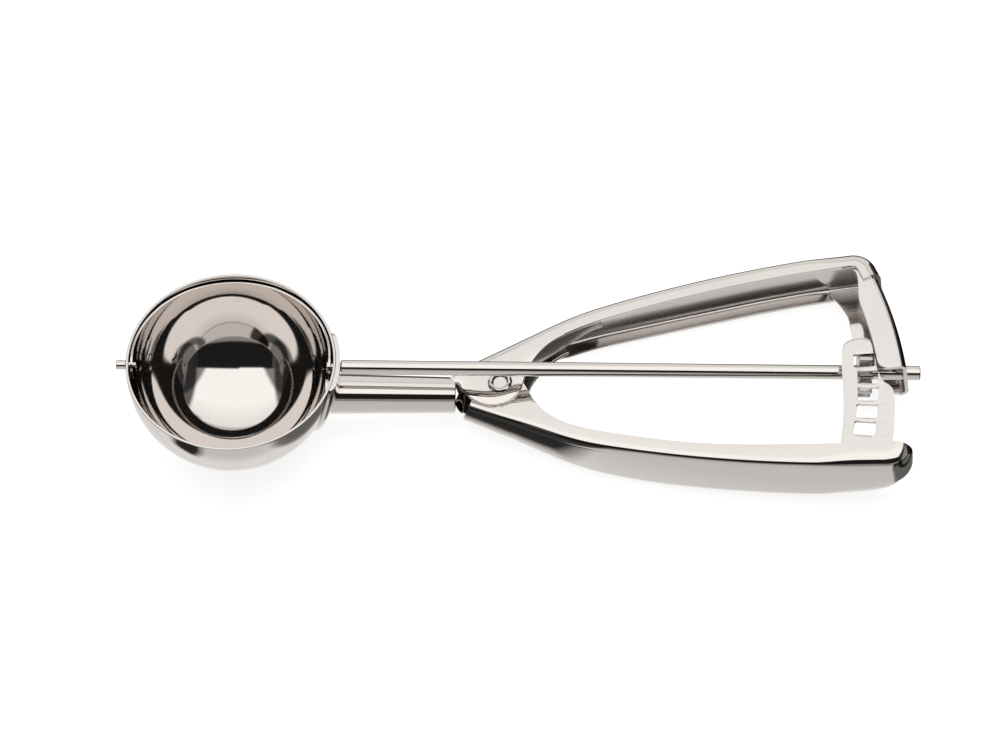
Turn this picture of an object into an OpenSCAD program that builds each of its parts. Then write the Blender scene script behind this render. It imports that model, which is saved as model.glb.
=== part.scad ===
// Lever ice cream scoop. A squeeze of the moving handle drives a slotted rack
// across a pinion, and the pinion's rod turns the scraper through the bowl.
// Origin: centre of the bowl's mouth. +X runs along the rod to the handles'
// end, +Z is up out of the bowl, +Y points to the fixed handle.

/* [Bowl] */
// Inside diameter of the bowl
bowl_inner_d = 56; // [50:0.5:62]
// Wall thickness of the bowl
bowl_wall = 0.8; // [0.6:0.1:1.2]
// Height of the straight collar above the bowl's round part
collar_h = 2.8; // [1.5:0.1:4]

/* [Scraper] */
// Width of the scraper blade
blade_w = 8; // [6:0.5:10]
// Thickness of the scraper blade
blade_t = 0.6; // [0.4:0.1:0.8]
// Gap between the blade and the bowl
blade_gap = 0.35; // [0.3:0.05:0.6]
// Angle of the blade's middle below the mouth at rest
blade_rest = 6.5; // [4:0.5:10]

/* [Drive rod] */
// Diameter of the rod
rod_d = 4; // [3.5:0.1:4.6]
// Length of the rod's plain end behind the bracket
rod_tail = 4; // [2:0.1:6]
// Diameter of the rod's tenon through the bowl
tenon_d = 2.2; // [1.8:0.1:2.6]
// Diameter of the far pin's head
pin_head_d = 2.6; // [2.4:0.1:3.4]
// Length of the far pin's head
pin_head_l = 2.7; // [2:0.1:4]
// Diameter of the far pin's tenon
pin_d = 1.7; // [1.4:0.1:2]

/* [Pinion and rack] */
// Number of teeth on the pinion
pinion_teeth = 8; // [8:1:8]
// Reach of the pinion's teeth past the rack's underside
tooth_reach = 1.4; // [1.2:0.05:1.5]
// Length of the pinion along the rod
pinion_l = 3.7; // [3:0.1:4.2]
// Radius of the row of slots about the pivot
rack_r = 101.3; // [101:0.1:101.8]
// Distance between two slots, along their row
slot_pitch = 5.48; // [5.4:0.02:5.56]
// Number of slots
slot_count = 5; // [5:1:6]
// Length of a slot across the rack
slot_l = 6; // [5.6:0.1:6.2]
// Width of a slot along the rack
slot_w = 4.2; // [4:0.1:4.4]

/* [Handles] */
// Thickness of the handles' sheet metal
sheet = 1.0; // [0.8:0.05:1.1]
// Distance from the bowl's centre to the pivot
pivot_x = 73.8; // [71:0.1:76]
// Depth of the pivot's top face below the rod's axis
pivot_drop = 6.8; // [6.4:0.1:7.2]
// Upward tilt of the handles from the rod
handle_tilt = 8.9; // [8.6:0.1:9.2]
// Height of the channel at the pivot
pivot_h = 10.2; // [9.6:0.1:11]
// Height of the channel at the grips
grip_h = 16.8; // [15:0.1:18]
// Width of the channel's flanges at the grips
flange_w = 5.2; // [4.6:0.1:5.6]
// Outside radius of the channel's bends
bend_r = 2.5; // [2:0.1:3]
// Width of the moving handle's flanges at its rear end
rear_flange_w = 7.2; // [5.6:0.1:7.6]
// Distance of the channel's straight part from the pivot
spread = 10.6; // [10.2:0.1:11]
// Angle of the channel's straight part to the rod
splay = 25.3; // [24.5:0.1:26]
// Radius of the shank at the bowl
shank_r = 5.6; // [5.2:0.1:6]
// Radius of the shank at the handles
shank_end_r = 5; // [4.6:0.1:5.2]
// Radius of the saddle's round outline on the bowl
saddle_r = 13.5; // [12:0.5:15]
// Thickness of the saddle
saddle_t = 1.2; // [0.8:0.1:1.6]

/* [Pivot] */
// Diameter of the rivet
rivet_d = 4; // [3.4:0.1:4.6]
// Diameter of the rivet's head
rivet_head_d = 6.8; // [6:0.1:8]
// Height of the rivet's heads
rivet_head_h = 0.5; // [0.4:0.1:0.9]
// Radius of the frame's lugs
lug_r = 8.05; // [7.8:0.05:8.3]
// Wall of the sleeve on the rivet
sleeve_wall = 1.1; // [0.8:0.1:1.4]
// Thickness of the leaf spring
spring_t = 0.6; // [0.4:0.05:0.8]

/* [Hidden] */
$fn = 96;

// Clearances
running_gap = 0.05; // between a turning pin and its hole
press_gap = 0.01;   // between a pin and the hole it is pressed into
nest_gap = 0.1;     // between two sheets that lie on each other
saddle_gap = 0.02;  // between the bowl and the saddle that is brazed to it
swing_gap = 0.3;    // between a sheet's edge and a lug that turns in it

// Bowl and rod
bowl_in_r = bowl_inner_d / 2;
bowl_out_r = bowl_in_r + bowl_wall;
rod_z = -collar_h;
saddle_out_r = bowl_out_r + saddle_gap + saddle_t;
saddle_drop = 7.5;  // centre of the saddle's outline below the rod
saddle_rim_gap = 0.3;
blade_out_r = bowl_in_r - blade_gap;
blade_in_r = blade_out_r - blade_t;
tenon_head_d = tenon_d + 1;
tenon_head_l = 0.6;
tenon_head_gap = 0.25; // room for the head behind the blade's curved inner face
rod_edge = 0.4;     // bevel at the rod's end
pin_edge = 0.3;     // bevel at the far pin's end
pin_tail = 1;       // length of the far pin inside the blade's lug
shoulder_gap = 0.1; // between a shoulder and the wall it bears on

// Handle plane: its origin is the pivot's top face, its +Z is the pivot's axis
shank_drop = 13.6;  // axis of the shank below the rod
shank_end_x = pivot_x - 12.3;
shank_bowl_x = bowl_out_r - 4;

// Channel's centre line, seen along the pivot
tan_x = 14;         // where the straight part ends
neck_r = 87;        // first bend of the handle
neck_turn = 10.5;
slots_from_neck = 31.4;
grip_l = rack_r - slots_from_neck;
grip_turn = 11;     // long bend of the grip
grip_r = grip_l * 180 / (PI * grip_turn);
frame_start = -14;
squeeze_start = -8.7;
frame_corner_r = 7;
frame_corner_turn = 73;
frame_lip = 3.5;
squeeze_extra = 6;
squeeze_corner_r = 7.4;
squeeze_corner_turn = 84;
squeeze_lip = 0.6;
bracket_leg_r = 125;
bracket_past_rod = 3.6;  // how far the leg goes on past the rod's axis
bracket_flange_w = 7.4;
bracket_corner_w = 4.6;
bracket_reach = 26.3;   // from the slots to where the bracket begins in the handle
bracket_start = rack_r - bracket_reach;
bearing_l = 8;      // length, each way, of the cut for the rod through the bracket
narrow_w = bend_r + 0.1;
start_bend = 1.8;   // bend radius and flange where the squeeze handle begins
start_w = 1.9;
flare_from = 4;     // the flanges widen from here
flare_to = 16;
start_from = -4;    // the moving handle's bend opens out from here
start_to = 8;
depth_from = 6;     // the fixed handle's channel deepens from here
depth_over = 60;
squeeze_depth_from = 2;
squeeze_depth_over = 44;
rear_cut_from = 6;  // the moving handle gets shallower this far before its slots' row
rear_cut_over = 13;
rear_cut = 3.4;
wide_from = 50;     // its flanges widen from here
wide_over = 40;

// Levels below the pivot's top face
nest_z = sheet + nest_gap;
rack_t = 1;
rack_top = nest_z + sheet + 4 * nest_gap;
spring_side = 0.3;

// Rack
rack_in_w = 6.9;    // widths from the row of slots
rack_out_w = 6.3;
rack_tip_w = 2.6;
rack_tip_l = 7.3;   // lengths from the first slot along the row
rack_wide_l = 8.5;
rack_root_l = 23.9;
tip_round = [1.2, 1.4, 2];  // steps of the tip's rounded corners
rack_in_r = rack_r - rack_in_w;
rack_out_r = rack_r + rack_out_w;
rack_tip_r = rack_r + rack_tip_w;
slot_round = 0.8;
leg_h = 9;
leg_reach = 11.3;   // from the slots to where the rack's leg begins
leg_from = rack_r - leg_reach;
function row_angle(l) = l / rack_r * 180 / PI;
slot_angle = row_angle(slot_pitch);

// Pinion
pinion_shift = 0.55;
pinion_phase = 2.5;   // turn of the teeth at rest, to pass under the rack's tip
pinion_x = pivot_x + rack_r * cos(handle_tilt) + rack_top * sin(handle_tilt) - pinion_l / 2 - pinion_shift;
rack_under = rack_r * sin(handle_tilt) - (rack_top + rack_t) * cos(handle_tilt) - pivot_drop;
root_gap = 1;
pinion_tip_r = rack_under + tooth_reach;
pinion_root_r = rack_under - root_gap;
tooth_root_w = 2.5;
tooth_tip_w = 1.1;

// Pivot
pin_in_lug_r = rivet_d / 2;
lug_mid = [-1.6, 1.2];        // middle of the frame's lug, off the pivot
lug_side_r = lug_r - 0.6;     // its second curve, toward the shank
lug_side_mid = [-3.6, 1.5];
lug_end_x = 16;               // where the lugs' sheet runs out in the channels
squeeze_lug_r = 6.6;
step_y = lug_r - lug_mid.y + swing_gap;
sleeve_in_r = pin_in_lug_r + running_gap;
sleeve_out_r = sleeve_in_r + sleeve_wall;
coil_gap = 0.15;
coil_in_r = sleeve_out_r + coil_gap;
coil_out_r = coil_in_r + spring_t;
spring_tip_x = 27;   // where the spring's legs end at the handles
head_edge = 0.6;     // slope of the heads' rims
dish_depth = 0.25;   // hollow in the rivet's upper head

// Path of a sheet-metal channel: stations [x, y, heading]
function go(p, l, n) = [for (i = [1:n])
    [p.x + l * i / n * cos(p.z), p.y + l * i / n * sin(p.z), p.z]];
function turn(p, r, a, n) = [for (i = [1:n]) let (h = p.z - a * i / n)
    [p.x + r * (sin(p.z) - sin(h)), p.y + r * (cos(h) - cos(p.z)), h]];
function end(v) = v[len(v) - 1];
function start_at(x) = [x, spread / cos(splay) + x * tan(splay), splay];
function grip_path(x) =
    let (a = [start_at(x)],
         b = concat(a, go(a[0], (tan_x - x) / cos(splay), 6)),
         c = concat(b, turn(end(b), neck_r, neck_turn, 4)))
    concat(c, turn(end(c), grip_r, grip_turn, 10));
function inward(path, d) = [for (p = path) [p.x + d * sin(p.z), p.y - d * cos(p.z), p.z]];

frame_grip = grip_path(frame_start);
frame_corner = turn(end(frame_grip), frame_corner_r, frame_corner_turn, 8);
frame_path = concat(frame_grip, frame_corner, go(end(frame_corner), frame_lip, 1));

squeeze_grip = grip_path(squeeze_start);
squeeze_long = concat(squeeze_grip, go(end(squeeze_grip), squeeze_extra, 2));
squeeze_corner = turn(end(squeeze_long), squeeze_corner_r, squeeze_corner_turn, 8);
squeeze_path = concat(squeeze_long, squeeze_corner, go(end(squeeze_corner), squeeze_lip, 1));

bracket_back = [for (p = concat(frame_grip, frame_corner)) if (p.x > bracket_start) p];
bracket_bend = inward(bracket_back, sheet + nest_gap / 2);
leg_start = end(bracket_bend);
bracket_leg_turn = leg_start.z
    + acos(cos(leg_start.z) - (leg_start.y + bracket_past_rod) / bracket_leg_r);
bracket_leg = turn(leg_start, bracket_leg_r, bracket_leg_turn, 8);
bracket_path = concat(bracket_bend, bracket_leg);

// X of the bracket's outer face where the rod leaves it
web_turn_x = lookup(0, [for (p = bracket_leg) [-p.y, p.x]]);
rod_level = (pivot_drop - web_turn_x * sin(handle_tilt)) / cos(handle_tilt);
web_x = pivot_x + web_turn_x * cos(handle_tilt) - rod_level * sin(handle_tilt);

// Channel section, height and flange width at a station
function ease(t) = 1 - pow(1 - min(1, max(0, t)), 2);
function height_at(x) = pivot_h + (grip_h - pivot_h) * ease((x - depth_from) / depth_over);
function squeeze_height_at(x) = pivot_h
    + (grip_h - pivot_h) * ease((x - squeeze_depth_from) / squeeze_depth_over)
    - rear_cut * pow(ramp(x, rack_r - rear_cut_from, rack_r - rear_cut_from + rear_cut_over, 0, 1), 2);
function ramp(x, x0, x1, v0, v1) = v0 + (v1 - v0) * min(1, max(0, (x - x0) / (x1 - x0)));
function arc(cx, cz, r, a0, a1, n) = [for (i = [0:n]) let (a = a0 + (a1 - a0) * i / n)
    [cx + r * cos(a), cz + r * sin(a)]];
function section(w, top, low, r) = concat(
    [[w, top]], arc(r, top - r, r, 90, 180, 4), arc(r, low + r, r, 180, 270, 4), [[w, low]],
    [[w, low + sheet]], arc(r, low + r, r - sheet, 270, 180, 4),
    arc(r, top - r, r - sheet, 180, 90, 4), [[w, top - sheet]]);
function place(p, s) = [for (q = s) [p.x + q.x * sin(p.z), p.y - q.x * cos(p.z), q.y]];

// Sweep of one ring of points after another into a closed solid. The first
// half of each ring is the sheet's outer side, and the second its inner side.
module loft(rings) {
    m = len(rings[0]);
    n = len(rings);
    last = (n - 1) * m;
    points = [for (r = rings) each r];
    sides = [for (i = [0:n - 2]) for (j = [0:m - 1]) let (k = (j + 1) % m)
        each [[i * m + j, i * m + k, (i + 1) * m + k], [i * m + j, (i + 1) * m + k, (i + 1) * m + j]]];
    caps = [for (j = [0:m / 2 - 2]) let (k = m - 1 - j) each [
        [j, k, j + 1], [j + 1, k, k - 1],
        [last + j, last + j + 1, last + k], [last + j + 1, last + k - 1, last + k]]];
    polyhedron(points, concat(sides, caps));
}

module handle_plane() {
    translate([pivot_x, 0, rod_z - pivot_drop]) rotate([0, -handle_tilt, 0]) children();
}

module along_rod() {
    translate([0, 0, rod_z]) rotate([0, 90, 0]) children();
}

// Half of the section through a cup of radius r, collar included
module cup_half(r, top) {
    intersection() {
        union() {
            circle(r);
            square([r, top]);
        }
        translate([0, -r]) square([r, r + top]);
    }
}

module cup_wall(out_r, in_r, top) {
    difference() {
        cup_half(out_r, top);
        cup_half(in_r, top + 1);
    }
}

module bowl() {
    color("silver") difference() {
        translate([0, 0, rod_z]) rotate_extrude() cup_wall(bowl_out_r, bowl_in_r, collar_h);
        along_rod() cylinder(r = tenon_d / 2 + running_gap, h = bowl_out_r + 1);
        along_rod() translate([0, 0, -bowl_out_r - 1])
            cylinder(r = pin_d / 2 + running_gap, h = bowl_out_r);
    }
}

// Band of a sphere with a round lug at each end
module scraper_blade() {
    color("gainsboro") translate([0, 0, rod_z]) rotate([-blade_rest, 0, 0]) difference() {
        intersection() {
            sphere(blade_out_r);
            rotate([90, 0, 90]) translate([0, 0, -bowl_in_r]) linear_extrude(2 * bowl_in_r) union() {
                circle(blade_w / 2);
                translate([0, -blade_w / 2]) square([bowl_in_r, blade_w]);
            }
        }
        sphere(blade_in_r);
        rotate([0, 90, 0]) cylinder(r = tenon_d / 2 + press_gap, h = bowl_in_r);
        rotate([0, -90, 0]) cylinder(r = pin_d / 2 + press_gap, h = bowl_in_r);
    }
}

module far_pin() {
    head_x = bowl_out_r + shoulder_gap;
    color("silver") along_rod() {
        translate([0, 0, -head_x - pin_head_l]) {
            cylinder(d1 = pin_head_d - 2 * pin_edge, d2 = pin_head_d, h = pin_edge);
            translate([0, 0, pin_edge]) cylinder(d = pin_head_d, h = pin_head_l - pin_edge);
        }
        translate([0, 0, -head_x - pin_head_l / 2])
            cylinder(d = pin_d, h = pin_head_l / 2 + head_x - blade_in_r + pin_tail);
    }
}

module drive_rod() {
    neck_x = saddle_out_r + shoulder_gap;
    tip_x = web_x + rod_tail;
    inner_x = blade_in_r - tenon_head_gap;
    color("silver") along_rod() {
        translate([0, 0, neck_x]) cylinder(d = rod_d, h = tip_x - rod_edge - neck_x);
        translate([0, 0, tip_x - rod_edge]) cylinder(d1 = rod_d, d2 = rod_d - 2 * rod_edge, h = rod_edge);
        translate([0, 0, inner_x - tenon_head_l / 2])
            cylinder(d = tenon_d, h = tip_x - inner_x - rod_edge / 2 + tenon_head_l / 2);
        translate([0, 0, inner_x - tenon_head_l]) cylinder(d = tenon_head_d, h = tenon_head_l);
    }
}

module pinion() {
    color("silver") along_rod() translate([0, 0, pinion_x]) linear_extrude(pinion_l) difference() {
        union() {
            circle(pinion_root_r);
            for (i = [0:pinion_teeth - 1]) rotate(360 / pinion_teeth * i - pinion_phase) polygon([
                [0, -tooth_root_w / 2], [pinion_root_r, -tooth_root_w / 2],
                [pinion_tip_r, -tooth_tip_w / 2], [pinion_tip_r, tooth_tip_w / 2],
                [pinion_root_r, tooth_root_w / 2], [0, tooth_root_w / 2]]);
        }
        circle(rod_d / 2 + press_gap);
    }
}

// Round outline of the frame's lug, and the same outline grown by a gap
module lug_disc(grow) {
    translate(lug_mid) circle(lug_r + grow);
    translate(lug_side_mid) circle(lug_side_r + grow);
}

// Edge of the sheet between a lug and its channel, in lug radii
lug_edge = [[1.62, 1.39], [1.1, 0.78], [0.84, 0.2]];
shank_edge = [-1.55, -0.06];

module frame_lug() {
    inner = spread - bend_r;
    lap = 0.6;
    lug_disc(0);
    polygon(concat([lug_mid, lug_r * shank_edge,
        [lug_r * shank_edge.x, inner / cos(splay) + lug_r * shank_edge.x * tan(splay)],
        [lug_end_x, inner / cos(splay) + lug_end_x * tan(splay) - lap], [lug_end_x, lug_end_x * 0.82]],
        [for (p = lug_edge) lug_r * p]));
}

module saddle() {
    intersection() {
        translate([0, 0, rod_z]) rotate_extrude(angle = 110, start = -55)
            cup_wall(saddle_out_r, bowl_out_r + saddle_gap, collar_h - saddle_rim_gap);
        translate([0, 0, rod_z - saddle_drop]) rotate([0, 90, 0]) cylinder(r = saddle_r, h = saddle_out_r + 1);
    }
}

module frame_channel() {
    loft([for (i = [0:len(frame_path) - 1]) let (p = frame_path[i],
            w = ramp(p.x, flare_from, flare_to, narrow_w, flange_w))
        place(p, section(w, 0, -height_at(p.x), bend_r))]);
}

module frame_handle() {
    color("lightgray") difference() {
        union() {
            saddle();
            difference() {
                translate([shank_bowl_x, 0, rod_z - shank_drop]) rotate([0, 90, 0])
                    cylinder(r1 = shank_r, r2 = shank_end_r, h = shank_end_x - shank_bowl_x);
                translate([shank_bowl_x, 0, rod_z - shank_drop]) rotate([0, 90, 0])
                    cylinder(r1 = shank_r - sheet, r2 = shank_end_r - sheet, h = shank_end_x - shank_bowl_x + 1);
                translate([0, 0, rod_z]) sphere(bowl_out_r + saddle_gap + saddle_t / 2);
            }
            handle_plane() {
                frame_channel();
                translate([0, 0, -sheet]) linear_extrude(sheet) frame_lug();
                translate([0, 0, -pivot_h]) linear_extrude(sheet) frame_lug();
            }
        }
        handle_plane() translate([0, 0, -pivot_h - 1]) cylinder(r = rivet_d / 2 + press_gap, h = pivot_h + 2);
        along_rod() translate([0, 0, bowl_in_r]) cylinder(r = tenon_d / 2 + running_gap, h = 6);
    }
}

module end_bracket() {
    color("lightgray") difference() {
        handle_plane() loft([for (i = [0:len(bracket_path) - 1]) let (p = bracket_path[i],
                in_corner = p.z < 0 && p.z > leg_start.z + 1,
                w = in_corner ? bracket_corner_w : p.z < 0 ? bracket_flange_w : flange_w)
            place(p, section(w, -nest_z, -height_at(p.x) + nest_z, bend_r - nest_gap))]);
        along_rod() translate([0, 0, web_x - bearing_l]) cylinder(r = rod_d / 2 + running_gap, h = 2 * bearing_l);
    }
}

// Where the moving handle's flange dips under the lug, with room to swing
module low_part(grow) {
    mirror([0, 1]) lug_disc(swing_gap + grow);
    translate([-lug_end_x, -lug_end_x]) square([2 * lug_end_x, lug_end_x]);
    translate([-lug_mid.y, -1]) square([2 * lug_end_x, step_y + grow + 1]);
}

// Edge of the moving handle's flange beside its lug, in lug radii
squeeze_edge = [[1.85, 1.51], [1.5, 1.28], [1.2, 0.85], [1.04, 0.51], [0.8, 0.06]];
squeeze_tail = [-0.62, 0.52];

module squeeze_plan() {
    inner = spread - bend_r;
    lap = 0.6;
    x0 = squeeze_start + 0.5;
    circle(squeeze_lug_r);
    polygon(concat([lug_r * squeeze_tail, [x0, (spread - start_w) / cos(splay) + x0 * tan(splay)],
        [-2, inner / cos(splay) - 2 * tan(splay)],
        [lug_end_x, inner / cos(splay) + lug_end_x * tan(splay) - lap]],
        [for (p = squeeze_edge) lug_r * p]));
}

module squeeze_flange() {
    translate([0, 0, -nest_z - sheet]) linear_extrude(sheet) intersection() {
        squeeze_plan();
        low_part(sheet);
    }
    translate([0, 0, -sheet]) linear_extrude(sheet) difference() {
        squeeze_plan();
        low_part(0);
    }
    translate([0, 0, -nest_z - sheet]) linear_extrude(nest_z + sheet) intersection() {
        squeeze_plan();
        difference() {
            low_part(sheet);
            low_part(0);
        }
    }
}

module squeeze_handle() {
    color("lightgray") handle_plane() mirror([0, 1, 0]) difference() {
        union() {
            loft([for (i = [0:len(squeeze_path) - 1]) let (p = squeeze_path[i],
                    w = p.x < flare_from ? ramp(p.x, start_from, flare_from, start_w, narrow_w)
                        : ramp(p.x, flare_from, flare_to, narrow_w, flange_w)
                            + ramp(p.x, wide_from, wide_from + wide_over, 0, rear_flange_w - flange_w))
                place(p, section(w, 0, -squeeze_height_at(p.x), ramp(p.x, start_from, start_to, start_bend, bend_r)))]);
            squeeze_flange();
            translate([0, 0, -pivot_h]) mirror([0, 0, 1]) squeeze_flange();
        }
        translate([0, 0, -pivot_h - 1]) cylinder(r = rivet_d / 2 + running_gap, h = pivot_h + 2);
    }
}

// A point, and a row of points, on a circle about the pivot
function at(r, a) = [r * cos(a), r * sin(a)];
function ring(r, a0, a1, n) = [for (i = [0:n]) at(r, a0 + (a1 - a0) * i / n)];

module slot() {
    square([slot_l - 2 * slot_round, slot_w], center = true);
    square([slot_l, slot_w - 2 * slot_round], center = true);
    for (x = [-1, 1]) for (y = [-1, 1])
        translate([x * (slot_l / 2 - slot_round), y * (slot_w / 2 - slot_round)]) circle(slot_round);
}

module rack() {
    leg_line = [for (p = squeeze_long) if (p.x > leg_from) [p.x, -p.y, p.z]];
    near = [for (p = leg_line) [p.x + (sheet + press_gap) * sin(p.z), p.y + (sheet + press_gap) * cos(p.z)]];
    far = [for (p = leg_line) [p.x + (sheet + rack_t) * sin(p.z), p.y + (sheet + rack_t) * cos(p.z)]];
    color("lightgray") handle_plane() {
        translate([0, 0, -rack_top - rack_t]) linear_extrude(rack_t) difference() {
            polygon(concat(
                [end(near), near[0]],
                ring(rack_in_r, -row_angle(rack_root_l), row_angle(rack_tip_l - tip_round.z), 10),
                [at(rack_in_r + tip_round.x, row_angle(rack_tip_l - tip_round.x / 2)),
                 at(rack_in_r + 2 * tip_round.y, row_angle(rack_tip_l)),
                 at(rack_tip_r - tip_round.x, row_angle(rack_tip_l)),
                 at(rack_tip_r, row_angle(rack_tip_l - tip_round.y))],
                ring(rack_out_r, -row_angle(rack_wide_l), -row_angle(rack_root_l), 6)));
            for (i = [0:slot_count - 1]) rotate(-slot_angle * i) translate([rack_r, 0]) slot();
        }
        translate([0, 0, -rack_top - leg_h]) linear_extrude(leg_h)
            polygon(concat(near, [for (i = [len(far) - 1:-1:0]) far[i]]));
    }
}

module pivot_rivet() {
    color("silver") handle_plane() difference() {
        union() {
            translate([0, 0, -pivot_h - rivet_head_h]) cylinder(d = rivet_d, h = pivot_h + rivet_head_h);
            cylinder(d1 = rivet_head_d, d2 = rivet_head_d - head_edge, h = rivet_head_h);
            translate([0, 0, -pivot_h - rivet_head_h])
                cylinder(d1 = rivet_head_d - head_edge, d2 = rivet_head_d, h = rivet_head_h);
        }
        translate([0, 0, rivet_head_h - dish_depth]) cylinder(d1 = rivet_head_d / 2, d2 = rivet_head_d, h = 1);
    }
}

module pivot_sleeve() {
    low = pivot_h - nest_z - sheet - running_gap;
    high = nest_z + sheet + running_gap;
    color("gray") handle_plane() translate([0, 0, -low]) difference() {
        cylinder(r = sleeve_out_r, h = low - high);
        translate([0, 0, -1]) cylinder(r = sleeve_in_r, h = low - high + 2);
    }
}

// Leg of the spring, from the coil to the inside of the handle whose path is
// given: its length and its angle to the rod
function spring_leg(path) =
    let (face = inward(path, sheet + running_gap),
         tip = [spring_tip_x, lookup(spring_tip_x, [for (p = face) [p.x, p.y]])],
         l = sqrt(tip * tip - coil_out_r * coil_out_r))
    [l, atan2(tip.y, tip.x) - atan2(coil_out_r, l)];

// Strip bent round the sleeve, with a leg along the inside of each handle
module leaf_spring() {
    low = pivot_h - nest_z - sheet - spring_side;
    high = nest_z + sheet + spring_side;
    leg = spring_leg(frame_grip);
    from = 90 + leg.y;
    reach = [for (side = [1, -1]) leg.x * at(1, side * leg.y)];
    color("gray") handle_plane() translate([0, 0, -low]) linear_extrude(low - high) polygon(concat(
        [at(coil_out_r, from) + reach[0]],
        ring(coil_out_r, from, 360 - from, 16),
        [at(coil_out_r, 360 - from) + reach[1], at(coil_in_r, 360 - from) + reach[1]],
        ring(coil_in_r, 360 - from, from, 16),
        [at(coil_in_r, from) + reach[0]]));
}

bowl();
scraper_blade();
far_pin();
drive_rod();
pinion();
frame_handle();
end_bracket();
squeeze_handle();
rack();
pivot_rivet();
pivot_sleeve();
leaf_spring();
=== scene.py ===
import bpy
import bmesh
import math
import numpy as np
from mathutils import Matrix, Vector
from mathutils.geometry import delaunay_2d_cdt


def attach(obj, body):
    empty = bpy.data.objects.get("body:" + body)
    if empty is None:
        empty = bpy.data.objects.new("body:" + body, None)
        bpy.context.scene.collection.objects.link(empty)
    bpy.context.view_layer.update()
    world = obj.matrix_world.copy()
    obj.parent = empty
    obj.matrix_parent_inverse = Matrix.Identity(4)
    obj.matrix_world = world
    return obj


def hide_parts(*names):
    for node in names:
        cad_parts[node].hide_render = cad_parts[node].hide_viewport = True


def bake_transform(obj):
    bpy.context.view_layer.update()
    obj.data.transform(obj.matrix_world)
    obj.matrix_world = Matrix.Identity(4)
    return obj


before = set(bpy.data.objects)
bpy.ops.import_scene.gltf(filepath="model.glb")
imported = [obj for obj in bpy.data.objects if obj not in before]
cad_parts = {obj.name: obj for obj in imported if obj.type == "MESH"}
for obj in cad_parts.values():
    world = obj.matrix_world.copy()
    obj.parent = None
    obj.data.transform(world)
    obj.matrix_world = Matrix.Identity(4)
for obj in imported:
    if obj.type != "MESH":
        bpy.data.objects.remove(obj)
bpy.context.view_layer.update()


# ------------------------------------------------- sizes, mm and degrees
# Origin: centre of the bowl's mouth. +X along the rod, +Y to the fixed handle.
# The handles are drawn in their own plane, tilted up towards their rear end:
# its origin is the pivot, at the level of the frame's upper face.
MM = 0.001
WELD = 2e-6                                         # points nearer than this, in metres, are one
SKIN = 0.01                                         # keeps faces that would coincide apart
# Bowl: inside radius, wall, rounding of the rim, straight collar over the rod's axis
BOWL_R, BOWL_WALL, BOWL_RIM, COLLAR = 28.0, 0.8, 0.22, 2.8
BOWL_OUT = BOWL_R + BOWL_WALL
ROD_Z = -COLLAR
BLADE_W, BLADE_T, BLADE_EDGE, BLADE_GAP, BLADE_REST = 8.0, 0.6, 0.12, 0.35, 6.5
# Rod: radius, length behind the bracket, and the headed tenon that carries the blade
ROD_R, ROD_TAIL, TENON_R, TENON_HEAD, TENON_HEAD_L = 2.0, 3.8, 1.1, 0.5, 0.6
PIN_R, PIN_TENON_R, PIN_L = 1.3, 0.85, 2.7
# Sheet, and how deep the moving handle's upper flange lies under the frame's
SHEET, NEST = 1.0, 0.1
NEST_Z = SHEET + NEST
PIVOT_X, PIVOT_DROP, TILT = 73.8, 6.8, math.radians(8.9)
# Channels: depth at the pivot and at the grip, flange, outer radius of the bends
PIVOT_H, GRIP_H, FLANGE, BEND = 10.2, 16.8, 5.2, 2.5
# Both webs: distance from the pivot, slant, then a bend and a long arc about the rack's
SPREAD, SPLAY = 10.6, 25.3
GRIP_START, GRIP_BEND_X, GRIP_BEND_R, GRIP_BEND, GRIP_TURN, GRIP_TO_RACK = -14, 14, 87, 10.5, 11, 31.4
FRAME_CORNER_R, FRAME_CORNER_TURN, FRAME_TAIL, FRAME_REAR_BEND = 7, 73, 3.5, 3.6
SQUEEZE_START, SQUEEZE_EXTRA, SQUEEZE_CORNER_R, SQUEEZE_CORNER_TURN = -8.7, 6.0, 7.4, 84
SQUEEZE_TAIL, SQUEEZE_REAR_BEND, REAR_FLANGE, FRONT_BEND = 0.6, 4.6, 7.2, 1.8
SHANK_R, SHANK_END_R, SHANK_DROP, SHANK_END_X = 5.6, 5.0, 13.6, PIVOT_X - 12.3
SADDLE_R, SADDLE_T, SADDLE_DROP, BRAZE = 13.5, 1.2, 7.5, 0.02
SADDLE_OUT = BOWL_OUT + BRAZE + SADDLE_T
RACK_R, RACK_T, RACK_LEG = 101.3, 1.0, 9
SLOT_PITCH, SLOTS, SLOT_L, SLOT_W = 5.48, 5, 5.7, 4.2
SLOT_STEP = math.degrees(SLOT_PITCH / RACK_R)
RACK_TOP = NEST_Z + SHEET + 4 * NEST
GRIP_R = math.degrees((RACK_R - GRIP_TO_RACK) / GRIP_TURN)
# Bracket: where it starts, its leg's radius and reach past the rod's axis, its flange
BRACKET_X, BRACKET_LEG_R, PAST_ROD = 82.5, 125, 3.6
BRACKET_FLANGE, CORNER_EXTRA, LEG_FLANGE, FLANGE_ROUND = FLANGE - 1.4, 1.2, 7.6, 3.2
TEETH, GEAR_ROOT, GEAR_TIP, GEAR_L, TOOTH_ROOT, TOOTH_TIP = 8, 4.4, 6.8, 3.7, 2.5, 1.1
GEAR_EDGE, GEAR_TURN, GEAR_FORWARD = 0.18, 2.5, 0.55
RIVET_R, RIVET_HEAD_R, RIVET_HEAD_H, SLEEVE_GAP, SLEEVE_T = 2.0, 3.4, 0.5, 0.05, 1.1
SPRING_T, SPRING_EDGE, SPRING_REACH = 0.6, 0.12, 27.0


def on_handle(p):
    """Points given in the handles' plane, as points of the whole scoop."""
    p = np.asarray(p, float)
    c, s = math.cos(TILT), math.sin(TILT)
    x, y, z = p[..., 0], p[..., 1], p[..., 2]
    return np.stack([PIVOT_X + x * c - z * s, y, ROD_Z - PIVOT_DROP + x * s + z * c], -1)


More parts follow.
